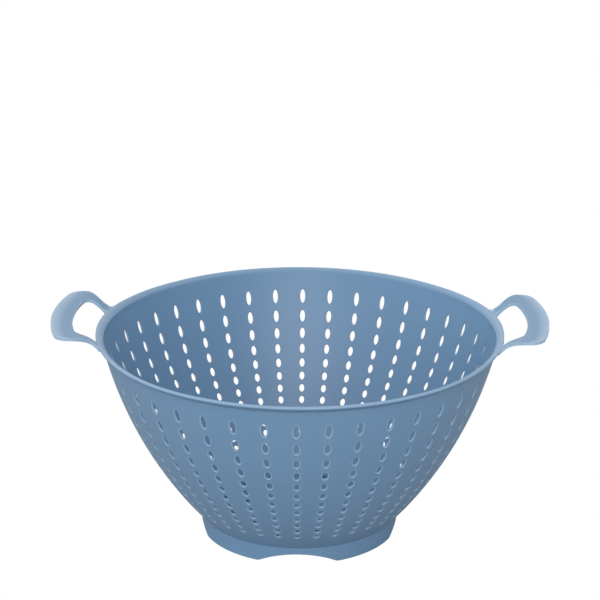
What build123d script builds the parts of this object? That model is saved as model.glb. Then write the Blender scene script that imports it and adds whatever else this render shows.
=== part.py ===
from build123d import *
import os
from math import acos, atan2, cos, degrees, hypot, radians, sin, sqrt, tan

# A plastic colander, moulded in one go: a bowl with a sloping rim, two loop
# handles, a wall of slots in straight columns, a drained floor and a foot ring
# with four low arches. Lengths are in millimetres. The origin is on the ground
# at the bowl's own axis, +Z is up and the handles lie along X.

# Overall sizes
rim_radius = 130.0  # to the outermost edge of the rim
rim_height = 133.6  # crest of the rim above the ground
handle_length = 28.1  # from the rim's edge to the outer edge of a handle

# Rim: a narrow lip that slopes down into the bowl
edge_width = 1.3  # from the crest out to the outermost edge
edge_fall = 0.8  # that edge lies this much below the crest
edge_face = 0.8  # height of the upright face at the outermost edge
lip_width = 3.5  # from the crest in to the corner above the wall
lip_fall = 2.2  # that corner lies this much below the crest
rim_depth = 5.0  # where the rim ends and the wall begins, below the crest
wall_inset = 4.4  # the wall's outer face there, in from the outermost edge
lip_fillet = 1.0  # corner between the lip and the wall
crest_fillet = 0.5
edge_fillet = 0.35
fillet_room_share = 0.9  # of the shorter side of a corner, the most that a fillet may use

# Wall: one shallow arc in section, turned about the axis
wall_thickness = 1.3
wall_bulge = 8.35  # how far the arc stands out from its chord
crease_radius = 64.2  # outer face where the wall meets the foot ring
foot_height = 11.0  # that crease above the ground

# Slots in the wall, in straight columns
slot_columns = 40
slot_width = 3.5
slot_plan_length = 2.65  # seen from above, alike in every row
top_row_inset = 3.7  # middle of the top row, in from the top of the wall
last_row_offset = 11.3  # middle of the last row, out from the crease
row_pitch = 4.2  # about this far from row to row, seen from above
slot_overrun = 1.5  # how far a cutting shape stands clear of the wall

# Foot ring
foot_taper = 0.3  # by which its outer face comes in, from the crease to the ground
arch_radius = 50.0
arch_height = 6.7
arch_corner = 5.0  # soft corner between an arch and the ground

# Floor, with rings of round drain holes
floor_thickness = 1.8
floor_corner = 6.0  # inside radius between the floor and the wall
drain_diameter = 3.5
drain_margin = 9.9  # from the foot ring's inner face to the outer ring of holes
drain_pitch = 8.0  # from ring to ring

# Handles in plan: a plate with an opening for the fingers
grip_outer_radius = 130.0  # outer edge, an arc
grip_inner_radius = 110.0  # far edge of the opening, an arc
grip_width = 13.6  # between those two at the middle
arm_half_span = 37.2  # to the arm's outer edge, level with the rim's edge
arm_flare = 42.0  # degrees by which that edge opens outward
handle_corner = 10.0
root_fillet = 4.5  # between the arm's outer edge and the rim
opening_half_span = 29.6  # to the opening's side, level with the rim's edge
opening_flare = 22.0  # degrees by which that side opens outward
opening_corner = 4.5
opening_root_fillet = 1.25

# Handles in height: the plate rises steeply from the crest and then levels out
handle_thickness = 1.8
rise_angle = 42.0  # degrees above level
rise_run = 2.4  # from the rim's edge to where the bend begins
bend_radius = 26.6  # middle of the plate

# Worked out from the sizes above
crest_radius = rim_radius - edge_width
handle_reach = rim_radius + handle_length
foot_radius = crease_radius - foot_taper
joint_height = rim_height - rim_depth
wall_top_radius = rim_radius - wall_inset
chord_run = wall_top_radius - crease_radius
chord_rise = joint_height - foot_height
chord = hypot(chord_run, chord_rise)
wall_arc_radius = (chord**2 / 4 + wall_bulge**2) / (2 * wall_bulge)
centre_offset = wall_arc_radius - wall_bulge
arc_centre_radius = (wall_top_radius + crease_radius) / 2 - centre_offset * chord_rise / chord
arc_centre_height = (joint_height + foot_height) / 2 + centre_offset * chord_run / chord


def wall_radius(height, inset=0):
    """Radius of the wall's outer face, or of a face inset from it, at a height."""
    drop = arc_centre_height - height
    return arc_centre_radius + sqrt((wall_arc_radius - inset) ** 2 - drop**2)


ring_inner_radius = wall_radius(foot_height, wall_thickness)
crease_slope = acos((ring_inner_radius - arc_centre_radius) / (wall_arc_radius - wall_thickness))
floor_top = foot_height - floor_corner * (1 - sin(crease_slope))
floor_flat_radius = ring_inner_radius - floor_corner * cos(crease_slope)
top_row_radius = wall_top_radius - top_row_inset
row_span = top_row_radius - crease_radius - last_row_offset
row_steps = round(row_span / row_pitch)
row_step = row_span / row_steps


def turned(edges):
    """Solid made by turning a closed outline, drawn as radius and height, about the axis."""
    return revolve(Plane.XZ * make_face(edges), Axis.Z)


def nearest(shape, place):
    """The corner of a flat outline that is nearest to a place."""
    return shape.vertices().sort_by_distance(place)[0]


def soft_radius(before, corner, after, wanted):
    """The wanted fillet radius, or less where the two sides of a corner are short."""
    first = Vector(*before) - Vector(*corner)
    second = Vector(*after) - Vector(*corner)
    room = min(first.length, second.length)
    half_angle = radians(first.get_angle(second)) / 2
    return min(wanted, fillet_room_share * room * tan(half_angle))


def make_rim():
    under_wall = (wall_top_radius, joint_height)
    low_edge = (rim_radius, rim_height - edge_fall - edge_face)
    high_edge = (rim_radius, rim_height - edge_fall)
    crest = (crest_radius, rim_height)
    lip_corner = (crest_radius - lip_width, rim_height - lip_fall)
    over_wall = (wall_radius(joint_height, wall_thickness), joint_height)
    corners = [under_wall, low_edge, high_edge, crest, lip_corner, over_wall]
    section = make_face(Polyline(*corners, close=True))
    lip_soft = soft_radius(crest, lip_corner, over_wall, lip_fillet)
    section = fillet(nearest(section, lip_corner), lip_soft)
    section = fillet(nearest(section, crest), crest_fillet)
    section = fillet([nearest(section, low_edge), nearest(section, high_edge)], edge_fillet)
    return revolve(Plane.XZ * section, Axis.Z)


def wall_arc(inset):
    """The wall's outer face in section, or a face inset from it, from its top to the crease."""
    heights = [joint_height, (joint_height + foot_height) / 2, foot_height]
    return ThreePointArc(*[(wall_radius(height, inset), height) for height in heights])


def slot_cutter(row):
    """Shape that cuts one slot square to the wall, in the column that faces along X."""
    radius = top_row_radius - row * row_step
    slope = acos((radius - arc_centre_radius) / wall_arc_radius)
    height = arc_centre_height - wall_arc_radius * sin(slope)
    half_length = slot_plan_length / sin(slope) / 2
    face = Plane((radius, 0, height), x_dir=(0, 1, 0), z_dir=(cos(slope), 0, -sin(slope)))
    oval = Ellipse(slot_width / 2, half_length)
    return extrude(face * oval, wall_thickness + slot_overrun, both=True)


def make_wall():
    """The wall is made as one strip with its column of slots, which then goes round."""
    outer = wall_arc(0)
    inner = wall_arc(wall_thickness)
    top = Line(outer @ 0, inner @ 0)
    foot = Line(outer @ 1, inner @ 1)
    section = Plane.XZ * make_face([outer, inner, top, foot])
    turn = 360 / slot_columns
    strip = revolve(Rot(0, 0, -turn / 2) * section, Axis.Z, turn)
    strip -= [slot_cutter(row) for row in range(row_steps + 1)]
    strips = [Rot(0, 0, index * turn) * strip for index in range(slot_columns)]
    return strips[0].fuse(*strips[1:])


def make_foot_ring():
    corners = [
        (crease_radius, foot_height),
        (foot_radius, 0),
        (ring_inner_radius, 0),
        (ring_inner_radius, foot_height),
    ]
    ring = turned(Polyline(*corners, close=True))
    arch = Cylinder(arch_radius, 4 * foot_radius)
    place = Pos(0, 0, arch_height - arch_radius)
    ring -= place * Rot(90, 0, 0) * arch
    ring -= place * Rot(0, 90, 0) * arch
    corner_lines = ring.edges().filter_by(GeomType.LINE).group_by(Axis.Z)[0]
    return fillet(corner_lines, arch_corner)


def make_floor():
    underside = floor_top - floor_thickness
    corner = TangentArc((floor_flat_radius, floor_top), (ring_inner_radius, foot_height), tangent=(1, 0))
    flat = [
        (ring_inner_radius, foot_height),
        (ring_inner_radius, underside),
        (0, underside),
        (0, floor_top),
        (floor_flat_radius, floor_top),
    ]
    floor = turned([corner, Polyline(*flat)])
    outer_ring = ring_inner_radius - drain_margin
    hole = Pos(0, 0, floor_top) * Cylinder(drain_diameter / 2, 4 * floor_thickness)
    holes = []
    for ring in range(int(outer_ring / drain_pitch)):
        count = slot_columns // 2 ** (ring // 2)
        radius = outer_ring - ring * drain_pitch
        holes += [Rot(0, 0, index * 360 / count) * Pos(radius, 0, 0) * hole for index in range(count)]
    return floor - holes


def flared(half_span, flare, arc_top, arc_radius):
    """A flat shape whose two sides open outward, up to an arc about a centre on X."""
    slope = tan(radians(flare))
    arc_centre = arc_top - arc_radius
    start = (crest_radius - wall_inset, half_span - (edge_width + wall_inset) * slope)
    along = Vector(cos(radians(flare)), sin(radians(flare)))
    reach = Vector(rim_radius - arc_centre, half_span)
    ahead = reach.dot(along)
    far = ahead**2 - reach.length**2 + arc_radius**2
    tip = Vector(rim_radius, half_span) + along * (sqrt(far) - ahead)
    outline = [
        Line((start[0], -start[1]), (tip.X, -tip.Y)),
        ThreePointArc((tip.X, -tip.Y), (arc_top, 0), (tip.X, tip.Y)),
        Line((tip.X, tip.Y), start),
        Line(start, (start[0], -start[1])),
    ]
    return make_face(outline)


def on_rim(shape):
    """Corners of a flat shape that lie on the circle of the rim's edge."""
    corners = [corner for corner in shape.vertices() if corner.X > 0]
    return ShapeList(corners).sort_by(lambda corner: abs(hypot(corner.X, corner.Y) - rim_radius))[:2]


def outermost(shape):
    return shape.vertices().sort_by(Axis.X)[-2:]


def handle_plan():
    """Outlines of the right handle from above: the whole blade and its finger opening."""
    disc = Circle(rim_radius)
    blade = flared(arm_half_span, arm_flare, handle_reach, grip_outer_radius)
    blade = fillet(outermost(blade), handle_corner) + disc
    blade = fillet(on_rim(blade), root_fillet)
    grip_edge = handle_reach - grip_width
    opening = flared(opening_half_span, opening_flare, grip_edge, grip_inner_radius) - disc
    opening = fillet(outermost(opening), opening_corner)
    opening = fillet(on_rim(opening), opening_root_fillet)
    return blade, opening


def plate_line(offset):
    """The plate's middle surface in section, or a surface offset above or below it."""
    slope = radians(rise_angle)
    bend_start = rim_radius + rise_run
    middle = rim_height + (bend_start - crest_radius) * tan(slope) - handle_thickness / 2 / cos(slope)
    centre = Vector(bend_start + bend_radius * sin(slope), middle - bend_radius * cos(slope))
    radius = bend_radius + offset
    start = centre + Vector(-sin(slope), cos(slope)) * radius
    end = centre + Vector(0, radius)
    inner = crest_radius - wall_inset
    root = Vector(inner, start.Y - (start.X - inner) * tan(slope))
    tip = Vector(handle_reach + handle_corner, end.Y)
    return [Line(root, start), TangentArc(start, end, tangent=(cos(slope), sin(slope))), Line(end, tip)]


def root_patch(first, second):
    """Flat patch between the crest and the rim's edge, from one angle to another."""
    turn = second - first
    near = CenterArc((0, 0), crest_radius, first, turn)
    far = CenterArc((0, 0), rim_radius, first, turn)
    return make_face([near, far, Line(near @ 0, far @ 0), Line(near @ 1, far @ 1)])


def angle_of(corner):
    return degrees(atan2(abs(corner.Y), corner.X))


def make_handle(rim):
    """The right handle: its plan raised into the bent plate, seated on the rim."""
    blade, opening = handle_plan()
    arm_side = angle_of(on_rim(blade)[0])
    plan = blade - Circle(rim_radius) - opening
    plan += root_patch(-arm_side, arm_side)
    upper = plate_line(handle_thickness / 2)
    lower = plate_line(-handle_thickness / 2)
    ends = [Line(upper[0] @ 0, lower[0] @ 0), Line(upper[-1] @ 1, lower[-1] @ 1)]
    plate = turned(upper + lower + ends)
    return (extrude(plan, 2 * rim_height) & plate) - rim


rim = make_rim()
handle = make_handle(rim)
parts = {
    "rim": rim,
    "handle_left": Rot(0, 0, 180) * handle,
    "handle_right": handle,
    "strainer_wall": make_wall(),
    "drain_floor": make_floor(),
    "foot_ring": make_foot_ring(),
}

os.makedirs("parts", exist_ok=True)
for name, part in parts.items():
    export_step(part, f"parts/{name}.step", write_pcurves=False)
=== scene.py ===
from math import acos, asin, atan2, cos, hypot, pi, radians, sin

import bmesh
import bpy
from mathutils import Matrix, Vector


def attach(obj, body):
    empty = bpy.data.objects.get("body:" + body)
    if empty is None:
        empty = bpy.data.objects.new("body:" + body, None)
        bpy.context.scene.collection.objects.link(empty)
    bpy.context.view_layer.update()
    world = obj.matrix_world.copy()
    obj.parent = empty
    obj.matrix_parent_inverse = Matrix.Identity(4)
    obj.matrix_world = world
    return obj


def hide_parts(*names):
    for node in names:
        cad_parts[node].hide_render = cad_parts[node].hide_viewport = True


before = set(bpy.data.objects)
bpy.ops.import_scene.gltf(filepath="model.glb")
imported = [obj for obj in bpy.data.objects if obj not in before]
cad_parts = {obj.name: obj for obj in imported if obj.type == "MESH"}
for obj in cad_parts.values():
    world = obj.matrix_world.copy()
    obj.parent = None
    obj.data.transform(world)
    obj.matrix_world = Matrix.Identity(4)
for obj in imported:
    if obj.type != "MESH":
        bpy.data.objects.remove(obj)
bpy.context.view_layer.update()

# A plastic colander, moulded in one go. The wall is made anew, with rounded slot edges. The rim
# and the handles are copies of their CAD shapes with soft edges, and the floor and the foot ring
# are shown as they are. Lengths are in metres and angles in radians.
MM = 0.001

# Rim and wall, as in the CAD source
RIM_RADIUS = 130 * MM  # to the outermost edge of the rim
RIM_HEIGHT = 133.6 * MM  # crest of the rim above the ground
EDGE_WIDTH = 1.3 * MM  # from the crest out to the outermost edge
RIM_DEPTH = 5 * MM  # where the rim ends and the wall begins, below the crest
WALL_INSET = 4.4 * MM  # the wall's outer face there, in from the outermost edge
WALL_THICKNESS = 1.3 * MM
WALL_BULGE = 8.35 * MM  # how far the arc stands out from its chord
CREASE_RADIUS = 64.2 * MM  # outer face where the wall meets the foot ring
FOOT_HEIGHT = 11 * MM  # that crease above the ground
CREST_RADIUS = RIM_RADIUS - EDGE_WIDTH
JOINT_HEIGHT = RIM_HEIGHT - RIM_DEPTH
WALL_TOP_RADIUS = RIM_RADIUS - WALL_INSET

# The wall's arc in section
CHORD = Vector((WALL_TOP_RADIUS - CREASE_RADIUS, JOINT_HEIGHT - FOOT_HEIGHT))
WALL_ARC = (CHORD.length_squared / 4 + WALL_BULGE**2) / (2 * WALL_BULGE)
CHORD_MIDDLE = Vector((WALL_TOP_RADIUS + CREASE_RADIUS, JOINT_HEIGHT + FOOT_HEIGHT)) / 2
INWARD = Vector((-CHORD.y, CHORD.x)).normalized()
ARC_CENTRE = CHORD_MIDDLE + INWARD * (WALL_ARC - WALL_BULGE)

# Slots in the wall, in straight columns
SLOT_COLUMNS = 40
SLOT_ROWS = 12
SLOT_WIDTH = 3.5 * MM
SLOT_PLAN_LENGTH = 2.65 * MM  # seen from above, alike in every row
TOP_ROW_INSET = 3.7 * MM  # middle of the top row, in from the top of the wall
LAST_ROW_OFFSET = 11.3 * MM  # middle of the last row, out from the crease
OUTER_ROUND = 0.4 * MM  # radius of a slot's edge on the outer face
INNER_ROUND = 0.45 * MM  # and on the inner face
TOP_ROW_RADIUS = WALL_TOP_RADIUS - TOP_ROW_INSET
LAST_ROW_RADIUS = CREASE_RADIUS + LAST_ROW_OFFSET
ROW_STEP = (TOP_ROW_RADIUS - LAST_ROW_RADIUS) / (SLOT_ROWS - 1)

# Grid of the wall's mesh round one slot
CELL_ACROSS = 6
CELL_UP = 8
ROUND_STEPS = 4
SLOPE_DIGITS = 7  # to which the slopes of two cells agree where they meet

# Painted highlight on edges: a lighter colour that stands in for light caught by rounded edges and
# shining through the thin plastic, from 0 for none to 1 for the brightest
HIGHLIGHT_FADE_WIDTH = 0.3 * MM  # round a slot's rounded edge, until the wall is plain
OUTER_HIGHLIGHT_LOSS = 0.6  # from the start of a slot's outer edge to its end
INNER_HIGHLIGHT = 0.3
RIM_HIGHLIGHT = 0.5
RIM_HIGHLIGHT_INSIDE = 0.4 * MM  # reach of the rim's painted highlight in from the crest
RIM_HIGHLIGHT_DEPTH = 1.4 * MM  # and down from it

# Soft edges of the handles, and shading of the rim and the handles
EDGE_SOFTNESS = 0.4 * MM
EDGE_STEPS = 4
EDGE_PROFILE = 0.5  # a round edge
SHARP_ANGLE = radians(50)  # an edge that bends more than this gets rounded
SMOOTH_ANGLE = radians(40)  # faces that differ less than this are shaded as one
WELD_DISTANCE = 0.002 * MM
JOINT_SLACK = 0.05 * MM  # out from the rim's edge, what still belongs to the joint
INNER_FACE_SHARE = 0.85  # a normal that points to the axis by more than this is the inner face's

# Lift of the rim towards the handles, by the angle from a handle's middle
RIM_RISE = 1.1 * MM
RISE_FULL = radians(20)
RISE_NONE = radians(52)
EDGE_LIFT = 0.85 * MM  # added to it at the outermost edge
LIFT_FULL = radians(17)
LIFT_NONE = radians(32)

# Plastic
PLASTIC_DEEP = (0.130, 0.255, 0.412, 1)
PLASTIC_LIGHT = (0.138, 0.265, 0.424, 1)
# Lighter colour of the painted edge highlight
EDGE_HIGHLIGHT_COLOUR = (0.36, 0.50, 0.66, 1)
HIGHLIGHT_SHARE = 0.8  # of the painted highlight colour in the brightest edge
PLASTIC_IOR = 1.49
PLASTIC_SPECULAR = 0.75
ROUGHNESS_LOW = 0.42
ROUGHNESS_HIGH = 0.52
MOTTLE_SCALE = 18.0
MOTTLE_DETAIL = 4.0
MOTTLE_LOW = 0.3
MOTTLE_HIGH = 0.7
GRAIN_SCALE = 2600.0
GRAIN_DETAIL = 2.0
GRAIN_STRENGTH = 0.15
GRAIN_DEPTH = 0.02 * MM

# Studio
SKY_STRENGTH = 0.62
SKY_BEHIND = 0.65  # added straight from behind
SKY_LEFT = 0.8  # added straight from the left
SKY_SIDE_START = 0.3  # cosine of the angle from that side at which the added light begins
KEY_PLACE = (0, -1.6, 0.95)
KEY_TARGET = (0, 0, 0.1)
KEY_SIZE = 1.6
KEY_POWER = 17.5
FLOOR_REACH = 6.0  # from the object to the floor's edge
FLOOR_GREY = 0.5
FLOOR_ROUGHNESS = 0.9

# Camera
CAMERA_DISTANCE = 1306.9 * MM  # from the middle of the rim, level with its crest
CAMERA_ELEVATION = radians(20.116)  # seen from there, above level
CAMERA_TURN = radians(0.885)  # round the bowl's axis
CAMERA_PITCH = radians(19.266)  # of its view below level
CAMERA_ROLL = radians(0.2)
CAMERA_LENS = 122.73
CAMERA_SENSOR = 36.0


def add_object(name, data):
    """An object with this data, put into the scene."""
    made = bpy.data.objects.new(name, data)
    bpy.context.scene.collection.objects.link(made)
    return made


def add_mesh(name, places, faces, normals=None, painted_highlight=None):
    """A smooth mesh object, with normals and a painted edge highlight given by vertex."""
    mesh = bpy.data.meshes.new(name)
    mesh.from_pydata(places, [], faces)
    mesh.polygons.foreach_set("use_smooth", [True] * len(faces))
    if painted_highlight is not None:
        layer = mesh.attributes.new("painted_edge_highlight", "FLOAT", "POINT")
        layer.data.foreach_set("value", painted_highlight)
    mesh.update()
    if normals is not None:
        mesh.normals_split_custom_set_from_vertices(normals)
    return add_object(name, mesh)


def wall_place(slope, turn, depth):
    """Point at a slope along the wall's arc, turned about the axis, at a depth below the outer face."""
    radius = ARC_CENTRE.x + (WALL_ARC - depth) * cos(slope)
    height = ARC_CENTRE.y - (WALL_ARC - depth) * sin(slope)
    return (radius * cos(turn), radius * sin(turn), height)


def out_of_wall(slope, turn):
    """Unit vector that points straight out of the wall."""
    return Vector((cos(slope) * cos(turn), cos(slope) * sin(turn), -sin(slope)))


def up_wall(slope, turn):
    """Unit vector that points up along the wall."""
    return Vector((sin(slope) * cos(turn), sin(slope) * sin(turn), cos(slope)))


def across_wall(turn):
    """Unit vector that points level along the wall."""
    return Vector((sin(turn), -cos(turn), 0))


def end_slope(height, depth):
    """Slope at which the face at a depth below the wall's outer face reaches a height."""
    return asin((ARC_CENTRE.y - height) / (WALL_ARC - depth))


def row_slope(row):
    """Slope at the middle of a row of slots."""
    radius = TOP_ROW_RADIUS - row * ROW_STEP
    return acos((radius - ARC_CENTRE.x) / WALL_ARC)


def cell_outline():
    """Points round the edge of a cell from -1 to 1, starting at the middle of its right side."""
    half = CELL_UP // 2
    right_up = [(1, step / half) for step in range(half)]
    top = [(1 - 2 * step / CELL_ACROSS, 1) for step in range(CELL_ACROSS)]
    left = [(-1, 1 - step / half) for step in range(CELL_UP)]
    bottom = [(-1 + 2 * step / CELL_ACROSS, -1) for step in range(CELL_ACROSS)]
    right_low = [(1, -1 + step / half) for step in range(half)]
    return right_up + top + left + bottom + right_low


OUTLINE = cell_outline()
LOOP_COUNT = len(OUTLINE)


def add_vertex(wall, key, place, normal, painted_highlight):
    """Index of the vertex with this key, which is added the first time."""
    if key not in wall["index"]:
        wall["index"][key] = len(wall["places"])
        wall["places"].append(place)
        wall["normals"].append(tuple(normal))
        wall["painted_highlight"].append(painted_highlight)
    return wall["index"][key]


def cell_edge(wall, cell, side, depth):
    """Loop of vertices round a cell's edge, shared with the cells beside it."""
    half_pitch = pi / SLOT_COLUMNS
    slope_above = end_slope(JOINT_HEIGHT, depth) if cell["above"] is None else cell["above"]
    slope_below = end_slope(FOOT_HEIGHT, depth) if cell["below"] is None else cell["below"]
    loop = []
    for x, y in OUTLINE:
        turn = cell["turn"] - x * half_pitch
        rise = (slope_above - cell["slope"]) * max(y, 0)
        drop = (slope_below - cell["slope"]) * max(-y, 0)
        slope = cell["slope"] + rise + drop
        number = round(turn / half_pitch * CELL_ACROSS) % (2 * SLOT_COLUMNS * CELL_ACROSS)
        key = ("edge", side, number, round(slope, SLOPE_DIGITS))
        normal = out_of_wall(slope, turn) * side
        loop.append(add_vertex(wall, key, wall_place(slope, turn, depth), normal, 0.0))
    return loop


def slot_loop(wall, cell, level, side, depth, offset, lean=0.0, painted_highlight=0.0):
    """Loop of vertices round a slot, at an offset from its oval, with normals that lean into it."""
    half_width = SLOT_WIDTH / 2
    half_length = SLOT_PLAN_LENGTH / sin(cell["slope"]) / 2
    radius = ARC_CENTRE.x + WALL_ARC * cos(cell["slope"])
    loop = []
    for step in range(LOOP_COUNT):
        angle = 2 * pi * step / LOOP_COUNT
        away = Vector((cos(angle) / half_width, sin(angle) / half_length)).normalized()
        x = half_width * cos(angle) + offset * away.x
        y = half_length * sin(angle) + offset * away.y
        turn = cell["turn"] - x / radius
        slope = cell["slope"] - y / WALL_ARC
        into_slot = -(across_wall(turn) * away.x + up_wall(slope, turn) * away.y)
        normal = out_of_wall(slope, turn) * side * cos(lean) + into_slot * sin(lean)
        key = (cell["name"], level, side, step)
        loop.append(add_vertex(wall, key, wall_place(slope, turn, depth), normal, painted_highlight))
    return loop


def cell_loops(wall, cell):
    """Loops from the cell's outer edge, through the slot, to its inner edge."""
    loops = [cell_edge(wall, cell, 1, 0.0)]
    loops.append(slot_loop(wall, cell, "plain", 1, 0.0, OUTER_ROUND + HIGHLIGHT_FADE_WIDTH))
    for step in range(ROUND_STEPS + 1):
        lean = step / ROUND_STEPS * pi / 2
        depth = OUTER_ROUND * (1 - cos(lean))
        offset = OUTER_ROUND * (1 - sin(lean))
        # Painted highlight on the outer rounding, brightest where it starts and weaker on the slot's
        # side wall
        painted_highlight = 1 - OUTER_HIGHLIGHT_LOSS * sin(lean)
        loops.append(slot_loop(wall, cell, step, 1, depth, offset, lean, painted_highlight))
    for step in range(ROUND_STEPS, -1, -1):
        lean = step / ROUND_STEPS * pi / 2
        depth = WALL_THICKNESS - INNER_ROUND * (1 - cos(lean))
        offset = INNER_ROUND * (1 - sin(lean))
        # Painted highlight on the inner rounding, strongest on the slot's side wall, as light through
        # the thin plastic
        painted_highlight = INNER_HIGHLIGHT * sin(lean)
        loops.append(slot_loop(wall, cell, step, -1, depth, offset, lean, painted_highlight))
    loops.append(slot_loop(wall, cell, "plain", -1, WALL_THICKNESS, INNER_ROUND + HIGHLIGHT_FADE_WIDTH))
    loops.append(cell_edge(wall, cell, -1, WALL_THICKNESS))
    return loops


def add_cell(wall, cell):
    """Faces between the cell's loops, and its share of the wall's top or bottom face."""
    loops = cell_loops(wall, cell)
    for first, second in zip(loops, loops[1:]):
        for step in range(LOOP_COUNT):
            after = (step + 1) % LOOP_COUNT
            wall["faces"].append((first[after], first[step], second[step], second[after]))
    outer = loops[0]
    inner = loops[-1]
    for end, y in (("above", 1), ("below", -1)):
        if cell[end] is None:
            steps = [step for step in range(LOOP_COUNT) if OUTLINE[step][1] == y]
            for one, two in zip(steps, steps[1:]):
                wall["faces"].append((outer[one], outer[two], inner[two], inner[one]))


def make_wall():
    """The wall as one closed mesh, with the edges of every slot rounded outside and inside."""
    wall = {"index": {}, "places": [], "normals": [], "painted_highlight": [], "faces": []}
    slopes = [row_slope(row) for row in range(SLOT_ROWS)]
    for row, slope in enumerate(slopes):
        above = (slopes[row - 1] + slope) / 2 if row else None
        below = (slopes[row + 1] + slope) / 2 if row < SLOT_ROWS - 1 else None
        for column in range(SLOT_COLUMNS):
            turn = column * 2 * pi / SLOT_COLUMNS
            name = (row, column)
            add_cell(wall, {"name": name, "turn": turn, "slope": slope, "above": above, "below": below})
    return add_mesh("wall_skin", wall["places"], wall["faces"], wall["normals"], wall["painted_highlight"])


def radius_of(place):
    return hypot(place.x, place.y)


def at_rim_edge(place):
    """Whether a place on a handle belongs to its joint with the rim."""
    return radius_of(place) < RIM_RADIUS + JOINT_SLACK


def at_crest(place):
    """Whether a place on the rim lies on its crest or outside of it."""
    inside = radius_of(place) > CREST_RADIUS - RIM_HIGHLIGHT_INSIDE
    return inside and place.z > RIM_HEIGHT - RIM_HIGHLIGHT_DEPTH


def cad_copy(node):
    """The mesh of a CAD node, to be worked on, with a value for the painted edge highlight at each
    vertex.
    """
    copy = bmesh.new()
    copy.from_mesh(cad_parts[node].data)
    bmesh.ops.remove_doubles(copy, verts=copy.verts, dist=WELD_DISTANCE)
    bmesh.ops.recalc_face_normals(copy, faces=copy.faces)
    copy.verts.layers.float.new("painted_edge_highlight")
    return copy


# Painted highlight: sets how much the colour at these vertices is lightened.
def set_painted_highlight(copy, vertices, painted_highlight):
    layer = copy.verts.layers.float["painted_edge_highlight"]
    for vertex in vertices:
        vertex[layer] = painted_highlight


def round_edges(copy):
    """Rounds a handle's sharp edges, but not those at its joint with the rim."""
    sharp = []
    for edge in copy.edges:
        joined = all(at_rim_edge(vertex.co) for vertex in edge.verts)
        if edge.is_manifold and not joined and edge.calc_face_angle() > SHARP_ANGLE:
            sharp.append(edge)
    made = bmesh.ops.bevel(
        copy, geom=sharp, offset=EDGE_SOFTNESS, offset_type="OFFSET", segments=EDGE_STEPS,
        profile=EDGE_PROFILE, affect="EDGES", clamp_overlap=True,
    )
    # The rounded edges get the full painted highlight.
    set_painted_highlight(copy, made["verts"], 1.0)


def corner_normals(copy):
    """A normal for each face corner: the mean by area of the faces there that make one surface."""
    limit = cos(SMOOTH_ANGLE)
    normals = []
    for face in copy.faces:
        for corner in face.loops:
            total = Vector()
            for other in corner.vert.link_faces:
                if other.normal.dot(face.normal) > limit:
                    total += other.normal * other.calc_area()
            normals.append(total.normalized() if total.length else face.normal.copy())
    return normals


def run_on_from_wall(copy, normals):
    """Gives the rim's inner face under the lip the slope that the wall has where they meet."""
    slope = end_slope(JOINT_HEIGHT, WALL_THICKNESS)
    corners = [corner for face in copy.faces for corner in face.loops]
    bent = []
    for corner, normal in zip(corners, normals):
        place = corner.vert.co
        to_axis = -Vector((place.x, place.y, 0)).normalized()
        if normal.dot(to_axis) > INNER_FACE_SHARE:
            normal = to_axis * cos(slope) + Vector((0, 0, sin(slope)))
        bent.append(normal)
    return bent


def add_skin(name, copy, normals):
    """The worked mesh as an object, with its normals given by face corner."""
    mesh = bpy.data.meshes.new(name)
    copy.to_mesh(mesh)
    copy.free()
    mesh.polygons.foreach_set("use_smooth", [True] * len(mesh.polygons))
    mesh.normals_split_custom_set(normals)
    return add_object(name, mesh)


def make_handle(node):
    copy = cad_copy(node)
    round_edges(copy)
    # Painted highlight along the handle's joint with the rim's edge.
    set_painted_highlight(copy, [vertex for vertex in copy.verts if at_rim_edge(vertex.co)], RIM_HIGHLIGHT)
    return add_skin(node + "_skin", copy, corner_normals(copy))


def fading(value, full, none):
    """1 up to one value, 0 from another one on, with a soft change between them."""
    share = min(max((none - value) / (none - full), 0), 1)
    return share * share * (3 - 2 * share)


def raise_rim(rim):
    """Lifts the rim towards the handles, and its outer edge up to the top of their roots."""
    for vertex in rim.data.vertices:
        place = vertex.co
        from_handle = abs(atan2(place.y, abs(place.x)))
        above_joint = (place.z - JOINT_HEIGHT) / RIM_DEPTH
        past_crest = max((radius_of(place) - CREST_RADIUS) / EDGE_WIDTH, 0)
        place.z += RIM_RISE * above_joint * fading(from_handle, RISE_FULL, RISE_NONE)
        place.z += EDGE_LIFT * past_crest * fading(from_handle, LIFT_FULL, LIFT_NONE)


def make_rim():
    copy = cad_copy("rim")
    # Painted highlight on the rim's crest and outer edge.
    set_painted_highlight(copy, [vertex for vertex in copy.verts if at_crest(vertex.co)], RIM_HIGHLIGHT)
    rim = add_skin("rim_skin", copy, run_on_from_wall(copy, corner_normals(copy)))
    raise_rim(rim)
    return rim


def add_node(tree, kind, values=None, **settings):
    """A shader node with its settings made and its inputs given values."""
    node = tree.nodes.new(kind)
    for name, setting in settings.items():
        setattr(node, name, setting)
    for name, value in (values or {}).items():
        node.inputs[name].default_value = value
    return node


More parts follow.
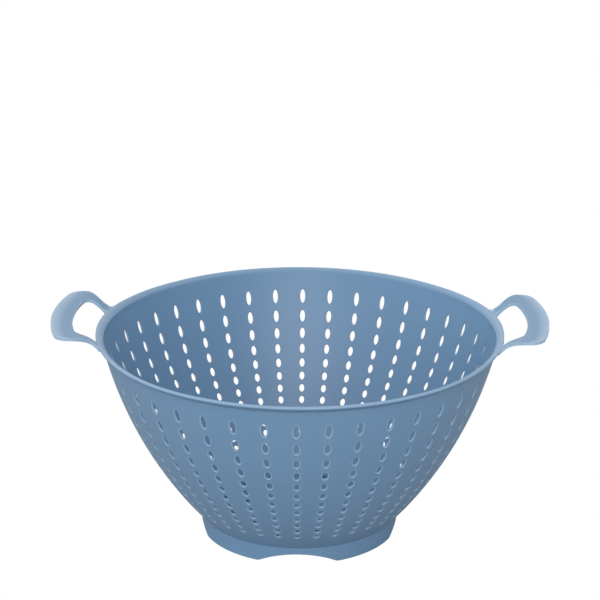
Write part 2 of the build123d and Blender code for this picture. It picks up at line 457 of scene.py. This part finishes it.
def add_colour(tree, shader, mottle):
    """Body colour with faint flow mottling, mixed towards a lighter colour at the edges as a painted
    highlight.
    """
    ramp = add_node(tree, "ShaderNodeValToRGB")
    stops = ramp.color_ramp.elements
    stops[0].position = MOTTLE_LOW
    stops[0].color = PLASTIC_DEEP
    stops[1].position = MOTTLE_HIGH
    stops[1].color = PLASTIC_LIGHT
    painted_highlight = add_node(tree, "ShaderNodeAttribute", attribute_name="painted_edge_highlight")
    share = add_node(tree, "ShaderNodeMath", {1: HIGHLIGHT_SHARE}, operation="MULTIPLY")
    mix = add_node(tree, "ShaderNodeMix", {"B": EDGE_HIGHLIGHT_COLOUR}, data_type="RGBA")
    tree.links.new(mottle.outputs["Fac"], ramp.inputs["Fac"])
    tree.links.new(painted_highlight.outputs["Fac"], share.inputs[0])
    tree.links.new(share.outputs[0], mix.inputs["Factor"])
    tree.links.new(ramp.outputs["Color"], mix.inputs["A"])
    tree.links.new(mix.outputs["Result"], shader.inputs["Base Color"])


def add_roughness(tree, shader, mottle):
    """Roughness that varies a little with the mottling."""
    spread = add_node(tree, "ShaderNodeMapRange", {"To Min": ROUGHNESS_LOW, "To Max": ROUGHNESS_HIGH})
    tree.links.new(mottle.outputs["Fac"], spread.inputs["Value"])
    tree.links.new(spread.outputs["Result"], shader.inputs["Roughness"])


def add_grain(tree, shader, place):
    """Fine grain of the mould's surface."""
    grain = add_node(tree, "ShaderNodeTexNoise", {"Scale": GRAIN_SCALE, "Detail": GRAIN_DETAIL})
    bump = add_node(tree, "ShaderNodeBump", {"Strength": GRAIN_STRENGTH, "Distance": GRAIN_DEPTH})
    tree.links.new(place, grain.inputs["Vector"])
    tree.links.new(grain.outputs["Fac"], bump.inputs["Height"])
    tree.links.new(bump.outputs["Normal"], shader.inputs["Normal"])


def plastic(name):
    """Satin, self-coloured polypropylene."""
    material = bpy.data.materials.new(name)
    material.use_nodes = True
    tree = material.node_tree
    shader = tree.nodes["Principled BSDF"]
    shader.inputs["IOR"].default_value = PLASTIC_IOR
    shader.inputs["Specular IOR Level"].default_value = PLASTIC_SPECULAR
    place = add_node(tree, "ShaderNodeTexCoord").outputs["Object"]
    mottle = add_node(tree, "ShaderNodeTexNoise", {"Scale": MOTTLE_SCALE, "Detail": MOTTLE_DETAIL})
    tree.links.new(place, mottle.inputs["Vector"])
    add_colour(tree, shader, mottle)
    add_roughness(tree, shader, mottle)
    add_grain(tree, shader, place)
    return material


def dress(piece, material):
    piece.data.materials.clear()
    piece.data.materials.append(material)


def floor_material():
    """Plain white to the camera, and a grey that bounces light back to all else."""
    material = bpy.data.materials.new("studio_floor")
    material.use_nodes = True
    tree = material.node_tree
    shader = tree.nodes["Principled BSDF"]
    shader.inputs["Base Color"].default_value = (FLOOR_GREY, FLOOR_GREY, FLOOR_GREY, 1)
    shader.inputs["Roughness"].default_value = FLOOR_ROUGHNESS
    shader.inputs["Specular IOR Level"].default_value = 0.0
    white = add_node(tree, "ShaderNodeEmission")
    path = add_node(tree, "ShaderNodeLightPath")
    blend = add_node(tree, "ShaderNodeMixShader")
    tree.links.new(path.outputs["Is Camera Ray"], blend.inputs["Fac"])
    tree.links.new(shader.outputs["BSDF"], blend.inputs[1])
    tree.links.new(white.outputs["Emission"], blend.inputs[2])
    tree.links.new(blend.outputs["Shader"], tree.nodes["Material Output"].inputs["Surface"])
    return material


def make_floor_plane():
    corners = [(x * FLOOR_REACH, y * FLOOR_REACH, 0) for x, y in ((-1, -1), (1, -1), (1, 1), (-1, 1))]
    floor = add_mesh("studio_floor", corners, [(0, 1, 2, 3)])
    dress(floor, floor_material())


def sky_side(tree, across, sign, strength):
    """Light added to one side of the sky, which grows towards the middle of that side."""
    side = add_node(
        tree, "ShaderNodeMapRange",
        {"From Min": SKY_SIDE_START * sign, "From Max": sign, "To Max": strength},
    )
    tree.links.new(across, side.inputs["Value"])
    return side.outputs["Result"]


def sky_strength(tree):
    """Strength of the sky by direction: even, and stronger from behind and from the left."""
    direction = add_node(tree, "ShaderNodeTexCoord")
    parts = add_node(tree, "ShaderNodeSeparateXYZ")
    tree.links.new(direction.outputs["Generated"], parts.inputs["Vector"])
    with_behind = add_node(tree, "ShaderNodeMath", {1: SKY_STRENGTH})
    tree.links.new(sky_side(tree, parts.outputs["Y"], 1, SKY_BEHIND), with_behind.inputs[0])
    with_left = add_node(tree, "ShaderNodeMath")
    tree.links.new(sky_side(tree, parts.outputs["X"], -1, SKY_LEFT), with_left.inputs[0])
    tree.links.new(with_behind.outputs[0], with_left.inputs[1])
    return with_left.outputs[0]


def make_sky():
    """A sky that lights the object, and is plain white to the camera."""
    world = bpy.data.worlds.new("studio")
    bpy.context.scene.world = world
    world.use_nodes = True
    tree = world.node_tree
    background = tree.nodes["Background"]
    background.inputs["Color"].default_value = (1, 1, 1, 1)
    path = add_node(tree, "ShaderNodeLightPath")
    mix = add_node(tree, "ShaderNodeMix", {"B": 1.0}, data_type="FLOAT")
    tree.links.new(path.outputs["Is Camera Ray"], mix.inputs["Factor"])
    tree.links.new(sky_strength(tree), mix.inputs["A"])
    tree.links.new(mix.outputs["Result"], background.inputs["Strength"])


def make_key_light():
    light = bpy.data.lights.new("key_softbox", "AREA")
    light.shape = "DISK"
    light.size = KEY_SIZE
    light.energy = KEY_POWER
    lamp = add_object("key_softbox", light)
    lamp.location = KEY_PLACE
    lamp.rotation_euler = (Vector(KEY_TARGET) - Vector(KEY_PLACE)).to_track_quat("-Z", "Y").to_euler()


def make_camera():
    data = bpy.data.cameras.new("camera")
    data.sensor_width = CAMERA_SENSOR
    data.lens = CAMERA_LENS
    camera = add_object("camera", data)
    turn = Matrix.Rotation(CAMERA_TURN, 3, "Z")
    back = CAMERA_DISTANCE * cos(CAMERA_ELEVATION)
    up = CAMERA_DISTANCE * sin(CAMERA_ELEVATION)
    place = turn @ Vector((0, -back, up)) + Vector((0, 0, RIM_HEIGHT))
    forward = turn @ Vector((0, cos(CAMERA_PITCH), -sin(CAMERA_PITCH)))
    upward = turn @ Vector((0, sin(CAMERA_PITCH), cos(CAMERA_PITCH)))
    right = forward.cross(upward)
    right_rolled = right * cos(CAMERA_ROLL) + upward * sin(CAMERA_ROLL)
    upward_rolled = upward * cos(CAMERA_ROLL) - right * sin(CAMERA_ROLL)
    axes = Matrix((right_rolled, upward_rolled, -forward)).transposed()
    camera.matrix_world = Matrix.Translation(place) @ axes.to_4x4()
    bpy.context.scene.camera = camera


make_camera()
make_sky()
make_key_light()
make_floor_plane()
material = plastic("moulded_plastic")
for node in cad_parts.values():
    dress(node, material)

skins = {
    "strainer_wall": make_wall(),
    "rim": make_rim(),
    "handle_left": make_handle("handle_left"),
    "handle_right": make_handle("handle_right"),
}
for node, skin in skins.items():
    dress(skin, material)
    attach(skin, "root")
    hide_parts(node)
bpy.context.scene.view_settings.view_transform = "Standard"
